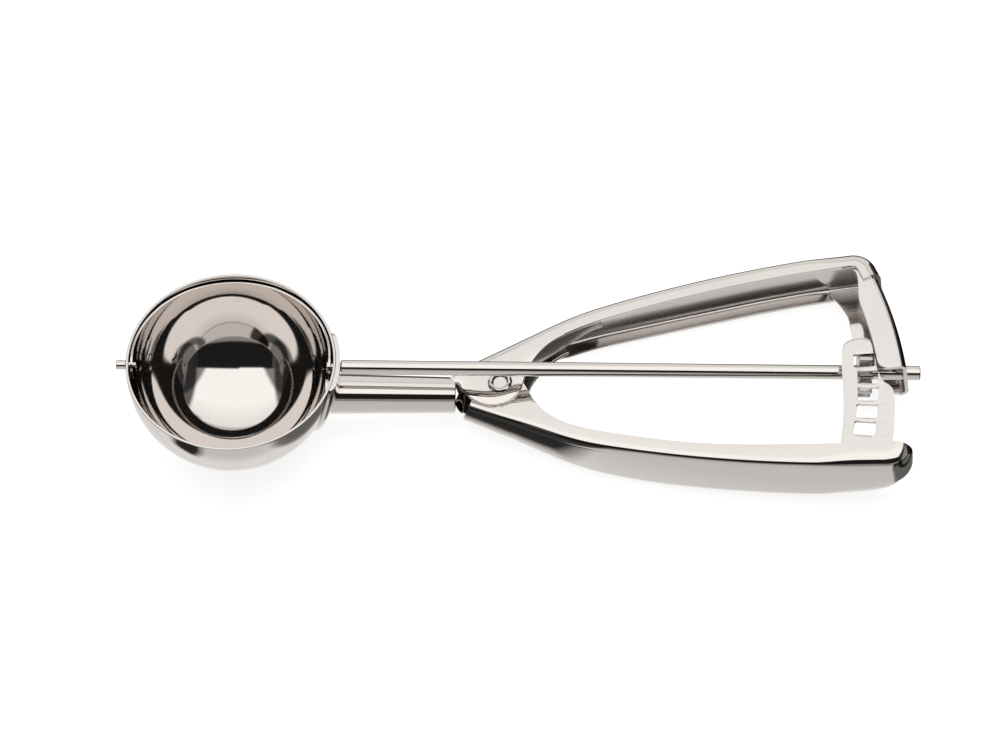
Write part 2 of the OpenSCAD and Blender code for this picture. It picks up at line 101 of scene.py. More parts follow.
def step(t):
    """0 up to t = 0, 1 from t = 1 on, and a smooth rise between them."""
    t = np.clip(t, 0, 1)
    return t * t * (3 - 2 * t)


def share(x, x0, x1):
    """0 up to x0, 1 from x1 on, and the even share between them."""
    return min(1.0, max(0.0, (x - x0) / (x1 - x0)))


def soft_share(x, x0, x1):
    return float(step((x - x0) / (x1 - x0)))


def ramp(x, x0, x1, v0, v1):
    return v0 + (v1 - v0) * soft_share(x, x0, x1)


def heading(h):
    """Sine and cosine of a direction in degrees."""
    return math.sin(math.radians(h)), math.cos(math.radians(h))


# ------------------------------------------------------------- mesh helpers
def make(name, parts, slot, body, node=None, soften=0.0, corner=35):
    """One smooth-shaded piece from parts in millimetres. A part is its points, its
    faces and, where the sheet has an inner side, a share of it for each point."""
    bm = bmesh.new()
    mark = bm.verts.layers.float.new("inner_face")
    for points, faces, *inner in parts:
        verts = [bm.verts.new(Vector(p) * MM) for p in points]
        for vert, value in zip(verts, inner[0] if inner else ()):
            vert[mark] = value
        for f in faces:
            if len(set(f)) > 2:
                bm.faces.new([verts[i] for i in f])
    bmesh.ops.remove_doubles(bm, verts=bm.verts, dist=WELD)
    bmesh.ops.dissolve_degenerate(bm, dist=1e-6, edges=bm.edges)
    bmesh.ops.recalc_face_normals(bm, faces=bm.faces)
    mesh = bpy.data.meshes.new(name)
    bm.to_mesh(mesh)
    bm.free()
    obj = bpy.data.objects.new(name, mesh)
    bpy.context.scene.collection.objects.link(obj)
    if soften:
        round_edges(obj, soften, 2, corner)
        obj = settle(obj)
    return dress(obj, slot, body, node, corner)


def round_edges(obj, width, segments, angle):
    bevel = obj.modifiers.new("round edges", "BEVEL")
    bevel.width = width * MM
    bevel.segments = segments
    bevel.limit_method = "ANGLE"
    bevel.angle_limit = math.radians(angle)


def point_outwards(mesh, merge=None):
    """Turns the faces outwards, after merging points nearer than merge metres."""
    bm = bmesh.new()
    bm.from_mesh(mesh)
    if merge:
        bmesh.ops.remove_doubles(bm, verts=bm.verts, dist=merge)
    bmesh.ops.recalc_face_normals(bm, faces=bm.faces)
    bm.to_mesh(mesh)
    bm.free()


def settle(obj):
    """Turns an object with modifiers into a plain mesh object of the same name."""
    deps = bpy.context.evaluated_depsgraph_get()
    mesh = bpy.data.meshes.new_from_object(obj.evaluated_get(deps))
    name = obj.name
    old = obj.data
    bpy.data.objects.remove(obj)
    bpy.data.meshes.remove(old)
    mesh.name = name
    obj = bpy.data.objects.new(name, mesh)
    bpy.context.scene.collection.objects.link(obj)
    return obj


def dress(obj, slot, body, node, corner=35):
    """Gives a piece its finish, its smooth shading and its place in the part."""
    mesh = obj.data
    mesh.materials.clear()
    mesh.materials.append(FINISH[slot])
    mesh.polygons.foreach_set("use_smooth", [True] * len(mesh.polygons))
    mesh.set_sharp_from_angle(angle=math.radians(corner))
    if body:
        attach(obj, body)
    if node:
        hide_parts(node)
    return obj


def sweep(rings, cap="strip"):
    """Skin over equal rings of points. A strip cap closes a sheet's end: each
    point of the first half of a ring faces one of the second half."""
    m, n = len(rings[0]), len(rings)
    points = [tuple(p) for ring in rings for p in ring]
    faces = []
    for a in range(0, (n - 1) * m, m):
        for j in range(m):
            k = (j + 1) % m
            faces.append((a + j, a + k, a + m + k, a + m + j))
    for base in (0, (n - 1) * m):
        if cap == "strip":
            for j in range(m // 2 - 1):
                k = m - 1 - j
                faces.append((base + j, base + j + 1, base + k - 1, base + k))
        elif cap == "face":
            faces.append(tuple(range(base, base + m)))
    return points, faces


def turned(profile, centre=(0, 0, ROD_Z), axis="x", steps=96, placed=None):
    """Solid of revolution from a profile of (along, radius), closed at its poles."""
    rings = []
    for along, radius in profile:
        ring = []
        for i in range(steps):
            a = 2 * math.pi * i / steps
            u, v = radius * math.cos(a), radius * math.sin(a)
            p = (along, u, v) if axis == "x" else (u, v, along)
            ring.append(tuple(c + q for c, q in zip(centre, p)))
        rings.append(ring)
    points, faces = sweep(rings, cap="none")
    if placed:
        points = [tuple(q) for q in placed(points)]
    return points, faces


def rounded(profile, r, steps=4):
    """An open (along, radius) line with its corners rounded."""
    out = [profile[0]]
    for a, b, c in zip(profile, profile[1:], profile[2:]):
        a, b, c = map(np.array, (a, b, c))
        la, lc = np.linalg.norm(a - b), np.linalg.norm(c - b)
        if la < 1e-6 or lc < 1e-6:
            continue
        k = min(r, la * 0.45, lc * 0.45)
        p, q = b + (a - b) / la * k, b + (c - b) / lc * k
        for i in range(steps + 1):
            t = i / steps
            out.append(tuple((1 - t) ** 2 * p + 2 * t * (1 - t) * b + t * t * q))
    out.append(profile[-1])
    return out


def flowing(points, each):
    """A smooth line through the points, with each many steps between two."""
    p = [np.array(q, float) for q in points]
    p = [2 * p[0] - p[1], *p, 2 * p[-1] - p[-2]]
    out = []
    for a, b, c, d in zip(p, p[1:], p[2:], p[3:]):
        for k in range(each):
            t = k / each
            out.append(0.5 * (2 * b + (c - a) * t + (2 * a - 5 * b + 4 * c - d) * t * t
                              + (3 * b - a - 3 * c + d) * t ** 3))
    return out + [p[-2]]


def away(line, d):
    """A closed line moved d to its inner side (the line runs anticlockwise)."""
    line = np.asarray(line, float)
    t = np.roll(line, -1, 0) - np.roll(line, 1, 0)
    t /= np.maximum(np.linalg.norm(t, axis=1, keepdims=True), 1e-9)
    return line + d * np.stack([-t[:, 1], t[:, 0]], 1)


def edge_distance(points, loops, closed=True):
    """Distance of each point to the nearest of the loops' edges."""
    best = np.full(len(points), 1e9)
    for loop in loops:
        a = np.asarray(loop, float)
        b = np.roll(a, -1, 0)
        if not closed:
            a, b = a[:-1], b[:-1]
        ab = b - a
        for i in range(0, len(points), 2000):
            ap = points[i:i + 2000, None, :] - a[None]
            t = np.clip((ap * ab).sum(-1) / np.maximum((ab * ab).sum(-1), 1e-12), 0, 1)
            near = np.linalg.norm(ap - t[..., None] * ab, axis=-1).min(1)
            best[i:i + 2000] = np.minimum(best[i:i + 2000], near)
    return best


def inside(points, loop):
    """Which of the points lie inside a closed line."""
    a = np.asarray(loop, float)
    b = np.roll(a, -1, 0)
    px, py = points[:, None, 0], points[:, None, 1]
    crosses = (a[:, 1] > py) != (b[:, 1] > py)
    rise = np.where(b[:, 1] == a[:, 1], 1e-9, b[:, 1] - a[:, 1])
    x = a[:, 0] + (py - a[:, 1]) * (b[:, 0] - a[:, 0]) / rise
    return (crosses & (px < x)).sum(1) % 2 == 1


def edge_drop(d, r):
    """How far an edge rounded with radius r has fallen at a distance d from it."""
    return r - np.sqrt(np.maximum(r * r - np.maximum(r - d, 0) ** 2, 0))


def plate(outline, level, thick, holes=(), *, pitch, lip, low_lip=0.15,
          bands=(0.03, 0.07, 0.13, 0.22, 0.35)):
    """Sheet metal over a plan: outline anticlockwise, holes clockwise, and
    level(points) the height of its upper side. lip and low_lip round its upper and
    lower edges, with rows of points at the bands' distances from them."""
    outline = np.asarray(outline, float)
    holes = [np.asarray(h, float) for h in holes]
    loops = [outline] + holes
    rows = list(loops)
    for d in bands:
        for p in loops:
            row = away(p, d)
            row = row[edge_distance(row, loops) > d * 0.93]
            if len(row):
                rows.append(row)
    columns, lines = (np.arange(lo, hi, pitch) for lo, hi in zip(outline.min(0), outline.max(0)))
    grid = np.stack(np.meshgrid(columns, lines), -1).reshape(-1, 2)
    grid = grid[edge_distance(grid, loops) > bands[-1] + pitch * 0.45]
    grid = grid[inside(grid, outline)]
    for h in holes:
        grid = grid[~inside(grid, h)]
    rows.append(grid)
    flat = np.concatenate(rows)
    edges, at = [], 0
    for loop in loops:
        edges += [(at + i, at + (i + 1) % len(loop)) for i in range(len(loop))]
        at += len(loop)
    vs, _, tris, *_ = delaunay_2d_cdt([Vector(p) for p in flat], edges, [], 0, 1e-5)
    vs = np.array([tuple(v) for v in vs])
    tris = np.array([t for t in tris if len(t) == 3])
    mid = vs[tris].mean(1)
    keep = inside(mid, outline)
    for h in holes:
        keep &= ~inside(mid, h)
    tris = tris[keep]
    d = edge_distance(vs, loops)
    top = level(vs)
    upper = np.column_stack([vs, top - edge_drop(d, lip)])
    lower = np.column_stack([vs, top - thick + edge_drop(d, low_lip)])
    n = len(vs)
    faces = [tuple(t) for t in tris] + [tuple(t[::-1] + n) for t in tris]
    sides = {(t[i], t[(i + 1) % 3]): None for t in tris for i in range(3)}
    faces += [(b, a, a + n, b + n) for a, b in sides if (b, a) not in sides]
    return np.concatenate([upper, lower]), faces


# ------------------------------------------------------------ shader maths
def add(tree, kind, settings=None, **sockets):
    """A node of any type: its settings first, then its sockets by their names."""
    node = tree.nodes.new(kind)
    for key, value in (settings or {}).items():
        setattr(node, key, value)
    for key, value in sockets.items():
        put(tree, node.inputs[key.replace("_", " ")], value)
    return node


def put(tree, socket, value):
    if isinstance(value, Wire):
        tree.links.new(value.socket, socket)
    elif isinstance(value, bpy.types.NodeSocket):
        tree.links.new(value, socket)
    else:
        socket.default_value = value


def sum_of(operation, flip=False):
    """A method that adds the Math node of an operation, flipped for 1 - mask."""
    def method(wire, other=None):
        node = add(wire.tree, "ShaderNodeMath", {"operation": operation})
        values = (other, wire) if flip else (wire, other)
        for socket, value in zip(node.inputs, values):
            if value is not None:
                put(wire.tree, socket, value)
        return Wire(wire.tree, node.outputs[0])
    return method


class Wire:
    """A node's output that takes part in sums."""

    def __init__(self, tree, socket):
        self.tree, self.socket = tree, socket

    def __neg__(self):
        return self * -1.0

    def clipped(self):
        return self.most(0.0).least(1.0)

    __add__ = __radd__ = sum_of("ADD")
    __sub__ = sum_of("SUBTRACT")
    __rsub__ = sum_of("SUBTRACT", flip=True)
    __mul__ = __rmul__ = sum_of("MULTIPLY")
    __truediv__ = sum_of("DIVIDE")
    least = sum_of("MINIMUM")
    most = sum_of("MAXIMUM")
    below = sum_of("LESS_THAN")
    over = sum_of("GREATER_THAN")
    left_over = sum_of("FLOORED_MODULO")
    angle_from = sum_of("ARCTAN2")
    sin = sum_of("SINE")
    cos = sum_of("COSINE")
    arcsin = sum_of("ARCSINE")
    root = sum_of("SQRT")


class Finish:
    """A material in the making."""

    def __init__(self, name):
        self.material = bpy.data.materials.new(name)
        self.material.use_nodes = True
        self.tree = self.material.node_tree
        self.tree.nodes.clear()
        self.shader = add(self.tree, "ShaderNodeBsdfPrincipled")
        add(self.tree, "ShaderNodeOutputMaterial", Surface=self.shader.outputs[0])

    def node(self, kind, settings=None, out=0, **sockets):
        return Wire(self.tree, add(self.tree, kind, settings, **sockets).outputs[out])

    def set(self, **sockets):
        for key, value in sockets.items():
            put(self.tree, self.shader.inputs[key.replace("_", " ")], value)


# --------------------------------------------------------------- materials
OBJECT_SPOT = 3                                     # Texture Coordinate's Object output
COLOUR_A, COLOUR_B, COLOUR_OUT = 6, 7, 2            # the Mix node's colour sockets
FACTOR_OUT = 2                                      # the Attribute node's Factor output
CLOUD_SCALE, SPECK_SCALE, HAIRLINE_SCALE = 55.0, 900.0, 40


def steel(name, tone, rough, haze, lines=0.0, along=(1, 1, 60), ripple=0.0, wear=0.06, inner=0.0):
    """Stainless steel: cloudy polish, fine hairlines and a slight waviness.
    The inner faces of the channels are left duller by the amount inner."""
    f = Finish(name)
    where = f.node("ShaderNodeTexCoord", out=OBJECT_SPOT)
    cloud = f.node("ShaderNodeTexNoise", Vector=where, Scale=CLOUD_SCALE, Detail=3.0, Roughness=0.55)
    streak_at = f.node("ShaderNodeMapping", Vector=where, Scale=[HAIRLINE_SCALE * a for a in along])
    streak = f.node("ShaderNodeTexNoise", Vector=streak_at, Scale=1.0, Detail=4.0, Roughness=0.7)
    speck = f.node("ShaderNodeTexNoise", Vector=where, Scale=SPECK_SCALE, Detail=2.0)
    tint = f.node("ShaderNodeMix", {"data_type": "RGBA"}, out=COLOUR_OUT, Factor=cloud)
    mix = tint.socket.node
    mix.inputs[COLOUR_A].default_value = (*[c * (1 - wear) for c in tone], 1)
    mix.inputs[COLOUR_B].default_value = (*tone, 1)
    roughness = rough + haze * (cloud - 0.5) + lines * (streak - 0.5) + 0.3 * haze * (speck - 0.5)
    if inner:
        dull = f.node("ShaderNodeAttribute", {"attribute_name": "inner_face"}, out=FACTOR_OUT)
        roughness = roughness + dull * inner
    f.set(Base_Color=tint, Metallic=1.0, Roughness=roughness.most(0.02))
    if ripple or lines:
        height = ripple * cloud + lines * 0.4 * streak
        f.set(Normal=f.node("ShaderNodeBump", Height=height, Strength=0.35, Distance=0.0006))
    return f.material


POLISHED = (0.74, 0.705, 0.68)
FINISH = {
    "polished_steel": steel("polished steel", POLISHED, 0.045, 0.03, 0.003, ripple=0.012, inner=0.15),
    "turned_steel": steel("turned steel", POLISHED, 0.06, 0.03, 0.05, (60, 1, 1)),
    "pressed_steel": steel("pressed steel", (0.75, 0.72, 0.70), 0.08, 0.04, 0.02, ripple=0.03, inner=0.15),
    "cut_steel": steel("cut steel", (0.66, 0.64, 0.62), 0.24, 0.06, 0.12, (60, 1, 1), wear=0.2),
    "spring_steel": steel("spring steel", (0.52, 0.5, 0.49), 0.3, 0.08, 0.1, wear=0.25),
}


# -------------------------------------------- bowl, blade and pinion, by nodes
def geometry_tree(name, sizes):
    """A tree with a named input for each size and one for the material."""
    tree = bpy.data.node_groups.new(name, "GeometryNodeTree")
    for label, value in sizes.items():
        kind = "NodeSocketInt" if isinstance(value, int) else "NodeSocketFloat"
        tree.interface.new_socket(label, in_out="INPUT", socket_type=kind).default_value = value
    tree.interface.new_socket("Material", in_out="INPUT", socket_type="NodeSocketMaterial")
    tree.interface.new_socket("Geometry", in_out="OUTPUT", socket_type="NodeSocketGeometry")
    start = add(tree, "NodeGroupInput")
    return tree, start, [Wire(tree, start.outputs[label]) for label in sizes]


def close_tree(tree, start, shape):
    merged = add(tree, "GeometryNodeMergeByDistance", Geometry=shape.outputs[0], Distance=WELD)
    real = add(tree, "GeometryNodeRealizeInstances", Geometry=merged.outputs[0])
    coat = add(tree, "GeometryNodeSetMaterial", Geometry=real.outputs[0], Material=start.outputs["Material"])
    add(tree, "NodeGroupOutput", Geometry=coat.outputs[0])
    return tree


def grid_tree(tree, start, columns, rows, place):
    """A grid whose points are moved to place(u, v), u and v from 0 to 1."""
    grid = add(tree, "GeometryNodeMeshGrid", Size_X=1.0, Size_Y=1.0, Vertices_X=columns, Vertices_Y=rows)
    spot = add(tree, "GeometryNodeInputPosition")
    parts = add(tree, "ShaderNodeSeparateXYZ", Vector=spot.outputs[0])
    u, v = (Wire(tree, parts.outputs[i]) + 0.5 for i in (0, 1))
    x, y, z = place(u, v)
    join = add(tree, "ShaderNodeCombineXYZ", X=x, Y=y, Z=z)
    moved = add(tree, "GeometryNodeSetPosition", Geometry=grid.outputs[0], Position=join.outputs[0])
    return close_tree(tree, start, moved)


def grown(name, make_tree, sizes, finish_shape):
    """A piece made by a geometry tree, its inputs set by their identifiers."""
    tree = make_tree(sizes)
    obj = bpy.data.objects.new(name, bpy.data.meshes.new(name))
    bpy.context.scene.collection.objects.link(obj)
    nodes = obj.modifiers.new("grow", "NODES")
    nodes.node_group = tree
    for item in tree.interface.items_tree:
        if item.name in sizes:
            nodes[item.identifier] = sizes[item.name]
    finish_shape(obj)
    obj = settle(obj)
    point_outwards(obj.data, merge=1e-6)
    return obj


def thicken(wall, rim):
    """Gives a surface its wall, inwards, and rounds the wall's edges."""
    def finish_shape(obj):
        solid = obj.modifiers.new("wall", "SOLIDIFY")
        solid.thickness = wall * MM
        solid.offset = -1.0
        solid.use_even_offset = True
        round_edges(obj, rim, 3, 50)
    return finish_shape


def cup_tree(sizes):
    """A half ball with a straight collar above it."""
    tree, start, (radius, collar, level) = geometry_tree("cup", sizes)
    collar_share = 0.06

    def place(u, v):
        around = u * (2 * math.pi)
        rise = v * (1 + collar_share)
        from_pole = rise.least(1.0) * (math.pi / 2)
        lift = (rise - 1.0).most(0.0) / collar_share
        return (radius * from_pole.sin() * around.cos(), radius * from_pole.sin() * around.sin(),
                level - radius * from_pole.cos() + collar * lift)
    return grid_tree(tree, start, 193, 107, place)


bowl = grown("bowl_shell", cup_tree,
             {"Radius": BOWL_OUT * MM, "Collar": COLLAR * MM, "Axis level": ROD_Z * MM},
             thicken(BOWL_WALL, BOWL_RIM))
dress(bowl, "polished_steel", "frame", "bowl")


def band_tree(sizes):
    """Half a hoop cut from a ball, with round ends, turned about the rod's axis."""
    tree, start, (radius, width, rest, level) = geometry_tree("scraper band", sizes)

    def place(u, v):
        half = width / 2.0
        across = half * ((v - 0.5) * math.pi).sin()
        reach = (radius * radius - across * across).root()
        first = 0.0 - ((half * half - across * across).most(0.0).root() / reach).arcsin()
        swing = first + u * (math.pi - 2.0 * first)
        x, y = reach * swing.cos(), reach * swing.sin()
        return x, y * rest.cos() + across * rest.sin(), across * rest.cos() - y * rest.sin() + level
    return grid_tree(tree, start, 121, 25, place)


blade = grown("scraper_band", band_tree,
              {"Radius": (BOWL_R - BLADE_GAP) * MM, "Width": BLADE_W * MM,
               "Rest angle": math.radians(BLADE_REST), "Axis level": ROD_Z * MM},
              thicken(BLADE_T, BLADE_EDGE))
dress(blade, "polished_steel", "rotor", "scraper_blade")


def gear_tree(sizes):
    """Six points a tooth: foot, root, tip, tip, root, foot."""
    tree, start, (teeth, root, tip, length, wide, narrow) = geometry_tree("pinion", sizes)
    circle = add(tree, "GeometryNodeMeshCircle", {"fill_type": "NGON"}, Vertices=teeth * 6.0, Radius=1.0)
    index = Wire(tree, add(tree, "GeometryNodeInputIndex").outputs[0])
    place = index.left_over(6.0)
    tooth = (index - place) / 6.0
    foot = place.below(0.5) + place.over(4.5)
    top = place.over(1.5) * place.below(3.5)
    low = 1.0 - top
    side = place.over(2.5) * 2.0 - 1.0
    width = wide * low + narrow * top
    reach = root * low + tip * top
    aside = side * (width / 2.0 * (1.0 - foot) + foot * (root * 0.38))
    radius = reach - foot * (root * 0.06)
    angle = (tooth / teeth) * (2 * math.pi)
    x = radius * angle.cos() - aside * angle.sin()
    y = radius * angle.sin() + aside * angle.cos()
    join = add(tree, "ShaderNodeCombineXYZ", X=x, Y=y, Z=0.0)
    shaped = add(tree, "GeometryNodeSetPosition", Geometry=circle.outputs[0], Position=join.outputs[0])
    drawn = add(tree, "GeometryNodeExtrudeMesh", {"mode": "FACES"}, Mesh=shaped.outputs[0],
                Offset_Scale=length)
    back = add(tree, "GeometryNodeFlipFaces", Mesh=shaped.outputs[0])
    both = add(tree, "GeometryNodeJoinGeometry")
    for end in (drawn, back):
        tree.links.new(end.outputs[0], both.inputs[0])
    return close_tree(tree, start, both)


gear = grown("pinion_gear", gear_tree,
             {"Teeth": TEETH, "Root radius": GEAR_ROOT * MM, "Tip radius": GEAR_TIP * MM,
              "Length": GEAR_L * MM, "Root width": TOOTH_ROOT * MM, "Tip width": TOOTH_TIP * MM},
             lambda obj: round_edges(obj, GEAR_EDGE, 2, 25))
# The wheel lies under the slots, one tooth turned up towards them
gear_x = PIVOT_X + RACK_R * math.cos(TILT) + RACK_TOP * math.sin(TILT) - GEAR_L / 2 - GEAR_FORWARD
gear_s, gear_c = heading(180 - GEAR_TURN)
for vert in gear.data.vertices:
    a, b, along = vert.co
    vert.co = (gear_x * MM + along, a * gear_s + b * gear_c, ROD_Z * MM - (a * gear_c - b * gear_s))
gear.data.update()
point_outwards(gear.data)
dress(gear, "cut_steel", "rotor", "pinion", 30)


# ----------------------------------------------- the handles' lines, from above
# A station is (x, y, heading) on the outer face of a handle's web.
def straight(p, length, n):
    """The n stations after p, along its heading."""
    x, y, h = p
    s, c = heading(h)
    return [(x + length * i / n * c, y + length * i / n * s, h) for i in range(1, n + 1)]


def bend(p, r, angle, n):
    """The n stations of an arc that turns right by an angle."""
    x, y, h = p
    s, c = heading(h)
    out = []
    for i in range(1, n + 1):
        g = h - angle * i / n
        sg, cg = heading(g)
        out.append((x + r * (s - sg), y + r * (cg - c), g))
    return out


def inward(line, d):
    """The stations moved d to the right, into a channel."""
    return [(x + d * heading(h)[0], y - d * heading(h)[1], h) for x, y, h in line]


SPLAY_S, SPLAY_C = heading(SPLAY)
SPLAY_T = math.tan(math.radians(SPLAY))


def grip(x):
    line = [(x, SPREAD / SPLAY_C + x * SPLAY_T, SPLAY)]
    line += straight(line[0], (GRIP_BEND_X - x) / SPLAY_C, 28)
    line += bend(line[-1], GRIP_BEND_R, GRIP_BEND, 16)
    return line + bend(line[-1], GRIP_R, GRIP_TURN, 44)


FRAME_GRIP = grip(GRIP_START)
FRAME_CORNER = bend(FRAME_GRIP[-1], FRAME_CORNER_R, FRAME_CORNER_TURN, 24)
FRAME_PATH = FRAME_GRIP + FRAME_CORNER + straight(FRAME_CORNER[-1], FRAME_TAIL, 3)
SQUEEZE_LONG = grip(SQUEEZE_START)
SQUEEZE_LONG += straight(SQUEEZE_LONG[-1], SQUEEZE_EXTRA, 8)
SQUEEZE_PATH = SQUEEZE_LONG + bend(SQUEEZE_LONG[-1], SQUEEZE_CORNER_R, SQUEEZE_CORNER_TURN, 32)
SQUEEZE_PATH += straight(SQUEEZE_PATH[-1], SQUEEZE_TAIL, 1)

# The bracket follows the fixed handle's inner face and then runs past the rod's axis
BRACKET_BACK = inward([p for p in FRAME_GRIP + FRAME_CORNER if p[0] > BRACKET_X], SHEET + NEST / 2)
LEG_STEPS, LEG_END_STEPS, LEG_MAIN = 60, 24, 0.9    # its last tenth has closer rings
_, LEG_Y, LEG_H = BRACKET_BACK[-1]
LEG_TURN = LEG_H + math.degrees(math.acos(heading(LEG_H)[1] - (LEG_Y + PAST_ROD) / BRACKET_LEG_R))
LEG_L = math.radians(LEG_TURN) * BRACKET_LEG_R
BRACKET_PATH = BRACKET_BACK + bend(BRACKET_BACK[-1], BRACKET_LEG_R, LEG_TURN * LEG_MAIN, LEG_STEPS)
BRACKET_PATH += bend(BRACKET_PATH[-1], BRACKET_LEG_R, LEG_TURN * (1 - LEG_MAIN), LEG_END_STEPS)


# ------------------------------------------------------ a channel's sections
def depth_at(x, x0, x1):
    """Depth of a handle, which grows from the pivot's to the grip's between x0 and x1."""
    return PIVOT_H + (GRIP_H - PIVOT_H) * (1 - (1 - share(x, x0, x1)) ** 2)


def height_at(x):
    return depth_at(x, 6, 66)


def squeeze_height_at(x):
    """Shallow at the pivot's front, full at the grip, and less again round the rear end."""
    front = 1.6 * (1 - soft_share(x, -9, 1))
    rear = 3.6 * share(x, 94.5, 107.5) ** 2
    return depth_at(x, 2, 46) - front - rear


BEND_STEPS = 8
EDGE_TIPS = ((0.0, 1.0), (0.5, 0.87), (0.87, 0.5))  # share of half the sheet, of the edge's depth


def channel_ring(p, top, low, width, r, low_width=None, low_r=None, side=1, edge=0.07, slant=0.0):
    """Ring of points round the sheet at one station: flange, bend, web, bend, flange."""
    half = SHEET / 2
    line = [(width - edge, top - half, 0, 1)]
    for radius, level, first in ((r, top - r, 90), (low_r or r, low + (low_r or r), 180)):
        for i in range(BEND_STEPS + 1):
            s, c = heading(first + 90 * i / BEND_STEPS)
            line.append((radius + (radius - half) * c, level + (radius - half) * s, c, s))
    line.append(((low_width or width) - edge, low + half, 0, -1))

    def tip(end, sign, order):
        return [(end[0] + edge * b, end[1] + sign * half * a) for a, b in order]
    outer = [(u + half * nu, z + half * nz) for u, z, nu, nz in line]
    inner = [(u - half * nu, z - half * nz) for u, z, nu, nz in reversed(line)]
    ring = (tip(line[0], 1, EDGE_TIPS) + outer + tip(line[-1], -1, EDGE_TIPS[::-1])
            + tip(line[-1], 1, EDGE_TIPS) + inner + tip(line[0], -1, EDGE_TIPS[::-1]))
    x, y, h = p
    s, c = heading(h)
    return on_handle([(x + u * s + slant * z, side * (y - u * c + slant * z * s / c), z) for u, z in ring])


def channel_skin(rings):
    """The rings' skin, with its inner faces marked."""
    half = len(rings[0]) // 2
    ring = [0.0] * (half + 1) + [1.0] * (half - 2) + [0.0]
    return (*sweep(rings), ring * len(rings))


# --------------------------------------------------------- the fixed handle
def flange_width(x):
    return ramp(x, 4, 16, BEND + 0.1, FLANGE)


def rear_bend(p, large):
    """The bends open out where a handle wraps round its rear end."""
    x, _, h = p
    return ramp(x, 84, 97, BEND, large) if h > 0 else large


def frame_ring(p):
    return channel_ring(p, 0, -height_at(p[0]), flange_width(p[0]), rear_bend(p, FRAME_REAR_BEND))


def even(line, gap):
    """The line with its points set gap apart."""
    line = np.asarray(line, float)
    at = np.concatenate([[0], np.cumsum(np.linalg.norm(np.diff(line, axis=0), axis=1))])
    spots = np.linspace(0, at[-1], int(at[-1] / gap) + 1)
    return np.stack([np.interp(spots, at, line[:, i]) for i in (0, 1)], 1)


def calm(line, rounds):
    """The line with its points drawn towards their neighbours, its ends kept."""
    line = np.array(line)
    for _ in range(rounds):
        line[1:-1] = (line[:-2] + 2 * line[1:-1] + line[2:]) / 4
    return line


def bend_drop(points, r, side=1):
    """How far a channel's outer bend lies under its flange's level at the points."""
    from_web = SPREAD + points[:, 0] * SPLAY_S - side * points[:, 1] * SPLAY_C
    gone = np.clip(r - from_web, 0, r)
    return r - np.sqrt(r * r - gone * gone) + 0.05 * step((gone - 0.1) / 0.5)


def web_side(xs, side=1):
    """Points a little inside a handle's web, where a flange's plan ends under the bend."""
    return [(x, side * ((SPREAD - 1.2) / SPLAY_C + x * SPLAY_T)) for x in xs]


# The lug's free edge, from its front corner round the rivet to the grip's flange
LUG_LINE = flowing([(-14.2, 2.6), (-13, 1.4), (-11.7, 0.4), (-10.5, -1.6), (-8.2, -4.15), (-5.4, -5.9),
                    (-1.7, -6.85), (1.7, -6.22), (4.2, -4.45), (5.85, -1.9), (6.6, 1.0),
                    (7.45, 3.9), (8.9, 6.4), (10.8, 8.9), (13, 11.2), (15.6, 13.15), (18, 14.3)], 10)
RIM = calm(even(LUG_LINE, 0.2), 60)
RIM_STEP = np.gradient(RIM, axis=0)
RIM_STEP /= np.linalg.norm(RIM_STEP, axis=1, keepdims=True)
RIM_IN = np.stack([-RIM_STEP[:, 1], RIM_STEP[:, 0]], 1)
RIM_W, RIM_DROP, RIM_LIP, RIM_LOW_LIP = 4.2, 0.66, 0.12, 0.2
ACROSS = np.array([4.2, 3.9, 3.6, 3.3, 3.0, 2.7, 2.4, 2.1, 1.8, 1.5, 1.25, 1.0, 0.8, 0.62, 0.46, 0.32, 0.2,
                   0.1, 0.04, 0.0])
# The rim is narrower where the web is near
RIM_ROOM = ((SPREAD + RIM[:, 0] * SPLAY_S - RIM[:, 1] * SPLAY_C)
            / np.maximum(RIM_IN @ (-SPLAY_S, SPLAY_C), 0.05))
RIM_FIT = np.clip((calm(RIM_ROOM, 20) - 0.8) / RIM_W, 0.3, 1)
LUG_WEB = web_side(np.linspace(15, -12, 28))


def rim_ring(i):
    """Section of the lug's rolled rim, from the flat over the edge and back below."""
    p, fit = RIM[i], RIM_FIT[i]
    roll = RIM_DROP * soft_share(p[0], -13.6, -11.2) * (1 - (soft_share(p[1], 3.2, 10.2) if p[0] > 5 else 0))
    depth = ACROSS * np.where(ACROSS > 0.5, fit, 1.0)
    at = p + depth[:, None] * RIM_IN[i]
    level = -SKIN - bend_drop(at, BEND) - roll * np.clip(1 - depth / RIM_W, 0, 1) ** 2.8
    upper = np.column_stack([at, level - edge_drop(depth, RIM_LIP)])
    lower = np.column_stack([at, level - SHEET + edge_drop(depth, RIM_LOW_LIP)])
    return np.concatenate([upper, lower[::-1]])


def bulge(x, y):
    """How far the lower lug's front end swells out towards the moving handle."""
    return 4.0 * np.clip((-4.5 - x) / 8, 0, 1) ** 1.2 * step((4.6 - y) / 3.6)


def frame_lug(low):
    """A flat with its rolled rim. The lower one is the upper one turned over."""
    outline = [tuple(p) for p in RIM + (RIM_W * RIM_FIT - 0.1)[:, None] * RIM_IN] + LUG_WEB
    flat = plate(outline, lambda q: -2 * SKIN - bend_drop(q, BEND), SHEET - 2 * SKIN,
                 pitch=0.5, lip=0, low_lip=0, bands=(0.2,))
    parts = []
    for points, faces in (flat, sweep([rim_ring(i) for i in range(len(RIM))])):
        points = np.asarray(points, float)
        if low:
            points = points * (1, 1, -1) - (0, 0, PIVOT_H)
            points[:, 1] -= bulge(points[:, 0], points[:, 1])
        parts.append((on_handle(points), faces))
    return parts


